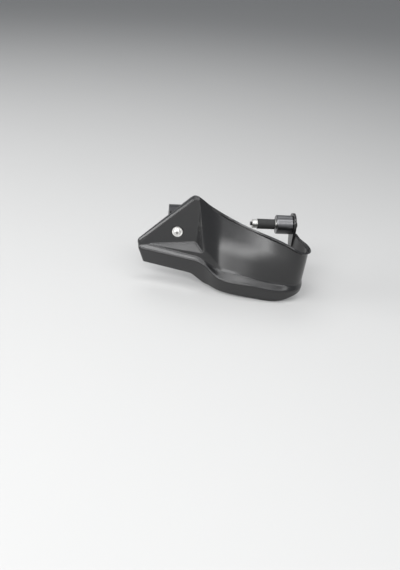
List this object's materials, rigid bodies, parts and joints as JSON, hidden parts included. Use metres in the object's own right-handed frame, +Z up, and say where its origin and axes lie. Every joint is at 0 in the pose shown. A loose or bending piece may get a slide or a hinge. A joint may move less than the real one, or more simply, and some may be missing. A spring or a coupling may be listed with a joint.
{
  "type": "motorcycle hand guard",
  "caption": "Wrap-around hand guard for a motorcycle handlebar end: flat plate, ridge and curved wing of moulded plastic, with a bar clamp, bracket and bar end weight.",
  "frame": {"origin": "middle of the clamp bore, on the axis of the handlebar", "axes": "+X along the handlebar towards its outer end, +Y towards the rider, +Z up"},
  "size_m": [0.2636, 0.1131, 0.1512],
  "materials": {
    "shell_plastic": "black moulded plastic with a satin sheen and a fine grain",
    "bright_steel": "bright plated steel",
    "zinc_steel": "dull zinc plated steel",
    "coated_steel": "black powder coated steel strip",
    "clamp_aluminium": "black dyed aluminium",
    "black_screw_steel": "black oxide steel",
    "weight_steel": "dark grey steel, turned and blackened, with a soft gloss",
    "sleeve_rubber": "plain black rubber"
  },
  "bodies": {
    "root": {"guard_shell": "shell_plastic", "shell_screw": "bright_steel", "shell_washer": "bright_steel", "shell_nut": "zinc_steel", "bracket": "coated_steel", "clamp_front": "clamp_aluminium", "clamp_rear": "clamp_aluminium", "clamp_screw_upper": "black_screw_steel", "clamp_screw_lower": "black_screw_steel", "clamp_washer_upper": "zinc_steel", "clamp_washer_lower": "zinc_steel", "bar_end_weight": "weight_steel", "bar_end_screw": "black_screw_steel", "bar_end_washer": "zinc_steel", "expander_washer": "zinc_steel", "expander_sleeve": "sleeve_rubber", "expander_wedge": "zinc_steel"}
  },
  "joints": []
}
